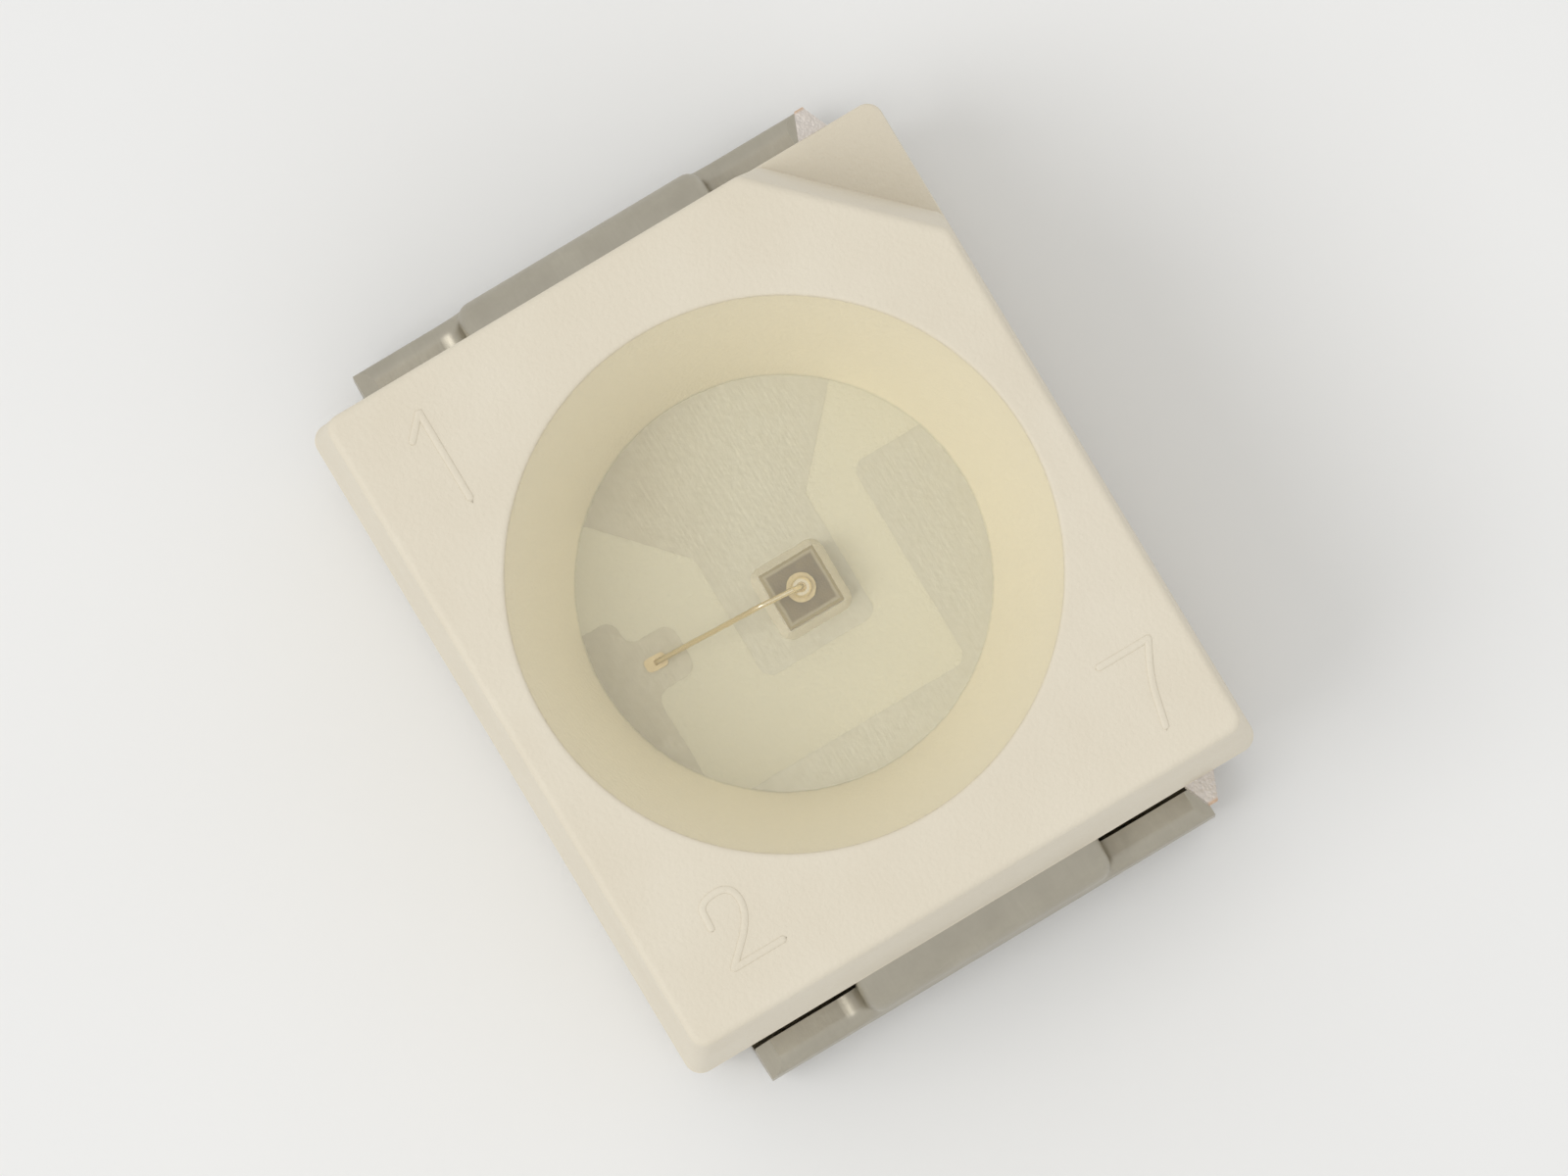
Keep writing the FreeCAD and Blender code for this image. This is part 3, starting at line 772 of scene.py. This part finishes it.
class LED_OT_housing(bpy.types.Operator):
    """Moulds the housing: pedestal, pockets, parting line, bevelled corner, cup and floor"""
    bl_idname = "led.housing"
    bl_label = "Housing"

    def execute(self, context):
        sizes = context.scene.led_housing
        body = Body(sizes)
        lower = body.lower_rings()
        rings = lower + body.upper_rings()
        shell = np.concatenate([np.array(rings), body.cup_rings(len(lower[0]))])
        patches = [joined(shell)] + body.underside(lower[0])
        piece = make_piece("moulded_housing", patches, finish_of(moulded_plastic, sizes))
        keep_flat = piece.modifiers.new("flat faces stay flat", "WEIGHTED_NORMAL")
        keep_flat.keep_sharp = True
        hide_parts("housing")
        return {"FINISHED"}


class LED_OT_numbers(bpy.types.Operator):
    """Raises a plain mould number beside three corners of the top face"""
    bl_idname = "led.numbers"
    bl_label = "Mould numbers"

    # Each stroke's points, from the number's lower left corner in shares of its height, and the
    # middle that they turn about.
    middle = (0.31, 0.5)
    shapes = {
        "one": [(0.12, 0.76), (0.34, 1.0), (0.34, 1.0), (0.34, 0.0)],
        "two": [(0.04, 0.74), (0.06, 1.04), (0.58, 1.06), (0.60, 0.56), (0.02, 0.0), (0.02, 0.0),
                (0.60, 0.0)],
        "seven": [(0.02, 1.0), (0.60, 1.0), (0.60, 1.0), (0.34, 0.5), (0.22, 0.0)],
    }
    places = {"one": (-1.23 * MM, -0.98 * MM), "two": (1.17 * MM, -0.95 * MM),
              "seven": (1.17 * MM, 1.09 * MM)}

    def execute(self, context):
        sizes = context.scene.led_housing
        for name, (x, y) in self.places.items():
            drawn = (np.array(self.shapes[name]) - self.middle) * sizes.number_height
            placed = np.column_stack([x - drawn[:, 1], y + drawn[:, 0]])
            bead = raised_stroke(smooth_path(placed, STROKE_STEPS), sizes.number_stroke,
                                 sizes.number_rise, HOUSING_HIGH.z - sizes.number_rise,
                                 sizes.number_seat)
            make_piece(f"mould_number_{name}", [bead], finish_of(moulded_plastic, sizes),
                       sharp=180.0)
        return {"FINISHED"}


class LED_OT_resin(bpy.types.Operator):
    """Fills the cup with clear resin, hollow-topped, seated in the cup's wall and floor"""
    bl_idname = "led.resin"
    bl_label = "Resin"

    def execute(self, context):
        sizes = context.scene.led_resin
        housing = context.scene.led_housing
        rim, top = RESIN_HIGH.x, RESIN_HIGH.z
        bottom = FRAME_TOP - housing.floor_drop - sizes.seat
        # The dish: at a share s of the rim's radius, top - dip (1 - s^2).
        reach = np.linspace(1, 0, DISH_STEPS + 1)[:, None]
        dish = np.hstack([rim * reach, top - sizes.dip * (1 - reach ** 2)])
        profile = np.concatenate([[(0, bottom), (housing.floor_radius + sizes.seat, bottom),
                                   (rim + sizes.seat, top)], dish])
        piece = make_piece("cast_resin", [joined(turned(profile, TURN_STEPS))],
                           finish_of(cast_resin, sizes))
        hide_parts("encapsulant")
        return {"FINISHED"}


class LED_OT_leads(bpy.types.Operator):
    """Plates both leads and the two cut-off bars"""
    bl_idname = "led.leads"
    bl_label = "Leads"

    def execute(self, context):
        metals = context.scene.led_metals
        for name in ("cathode_lead", "anode_lead"):
            dress(name, finish_of(plated_lead, metals))
        for name in ("support_bar_cathode_end", "support_bar_anode_end"):
            dress(name, finish_of(sheared_bar, metals))
        return {"FINISHED"}


class LED_OT_die(bpy.types.Operator):
    """Finishes the die, its glue, its contact and the bond wire"""
    bl_idname = "led.die"
    bl_label = "Die and wire"

    def execute(self, context):
        metals = context.scene.led_metals
        dress("led_chip", finish_of(die_surface, metals))
        dress("die_attach", finish_of(silver_glue, metals))
        dress("bond_pad", finish_of(contact_gold, metals))
        dress("bond_wire", finish_of(wire_gold, metals))
        return {"FINISHED"}


class LED_OT_stage(bpy.types.Operator):
    """Sets the floor, the sky, the lamp and the camera"""
    bl_idname = "led.stage"
    bl_label = "Stage"

    def execute(self, context):
        scene = context.scene
        stage = scene.led_stage
        turn = stage.picture_turn
        right = Vector((math.sin(turn), math.cos(turn), 0))
        self.lay_floor(scene, stage)
        self.light(scene, stage, right)
        self.aim(scene, stage, right)
        scene.view_settings.view_transform = "Standard"
        scene.cycles.diffuse_bounces = 8
        return {"FINISHED"}

    def lay_floor(self, scene, stage):
        """A level sheet just under the feet."""
        half_side, low = 400 * MM, -0.002 * MM
        corners = [(x * half_side, y * half_side, low)
                   for x, y in ((-1, -1), (1, -1), (1, 1), (-1, 1))]
        mesh = bpy.data.meshes.new("floor")
        mesh.from_pydata(corners, [], [(0, 1, 2, 3)])
        mesh.materials.append(finish_of(floor_finish, stage))
        floor = bpy.data.objects.new("floor", mesh)
        scene.collection.objects.link(floor)

    def light(self, scene, stage, right):
        """An even sky, and a large soft lamp from the picture's left. The lamp's power is its
        share times pi^2 times the distance squared, over the sine of its height."""
        world = bpy.data.worlds.new("plain sky")
        scene.world = world
        world.use_nodes = True
        world.node_tree.nodes["Background"].inputs["Color"].default_value = opaque(stage.sky)
        distance, size = 120 * MM, 70 * MM
        level = (Matrix.Rotation(stage.lamp_turn, 3, "Z") @ -right) * math.cos(stage.lamp_height)
        towards = level + Vector((0, 0, math.sin(stage.lamp_height)))
        lamp = bpy.data.lights.new("soft lamp", "AREA")
        lamp.shape = "DISK"
        lamp.size = size
        lamp.energy = stage.lamp_share * math.pi ** 2 * distance ** 2 / math.sin(stage.lamp_height)
        holder = bpy.data.objects.new("soft lamp", lamp)
        holder.matrix_world = (Matrix.Translation(towards * distance)
                               @ towards.to_track_quat("Z", "Y").to_matrix().to_4x4())
        scene.collection.objects.link(holder)

    def aim(self, scene, stage, right):
        """A long lens nearly straight above, turned as the part lies in the picture. Its distance
        is the view's width times the lens over the sensor's width."""
        back = Vector((stage.lean_x, stage.lean_y, 1)).normalized()
        right = (right - right.project(back)).normalized()
        up = back.cross(right)
        camera = bpy.data.cameras.new("camera")
        camera.lens = stage.lens
        camera.clip_start = 1 * MM
        camera.clip_end = 10.0
        width = stage.picture_height * PICTURE_SHAPE
        distance = width * camera.lens / camera.sensor_width
        target = Vector((0, 0, HOUSING_HIGH.z / 2))
        holder = bpy.data.objects.new("camera", camera)
        pose = Matrix((right, up, back)).transposed().to_4x4()
        pose.translation = target + back * distance
        holder.matrix_world = pose
        scene.collection.objects.link(holder)
        scene.camera = holder


GROUPS = {"led_housing": HousingSettings, "led_resin": ResinSettings,
          "led_metals": MetalSettings, "led_stage": StageSettings}
STEPS = (LED_OT_housing, LED_OT_numbers, LED_OT_resin, LED_OT_leads, LED_OT_die, LED_OT_stage)


class LED_PT_panel(bpy.types.Panel):
    """Lists the steps and their sizes"""
    bl_label = "Surface-mount LED"
    bl_idname = "LED_PT_panel"
    bl_space_type = "VIEW_3D"
    bl_region_type = "UI"
    bl_category = "LED"

    def draw(self, context):
        for step in STEPS:
            self.layout.operator(step.bl_idname)
        for name, group in GROUPS.items():
            box = self.layout.box()
            box.label(text=group.__doc__)
            for field in group.__annotations__:
                box.prop(getattr(context.scene, name), field)


def register():
    """Makes the sizes, the steps and the panel known."""
    for kind in (*GROUPS.values(), *STEPS, LED_PT_panel):
        bpy.utils.register_class(kind)
    for name, group in GROUPS.items():
        setattr(bpy.types.Scene, name, PointerProperty(type=group))


def unregister():
    """Takes them back."""
    for name in GROUPS:
        delattr(bpy.types.Scene, name)
    for kind in (LED_PT_panel, *STEPS, *GROUPS.values()):
        bpy.utils.unregister_class(kind)


def main():
    """Runs every step in order."""
    register()
    bpy.ops.led.housing()
    bpy.ops.led.numbers()
    bpy.ops.led.resin()
    bpy.ops.led.leads()
    bpy.ops.led.die()
    bpy.ops.led.stage()


if __name__ == "__main__":
    main()
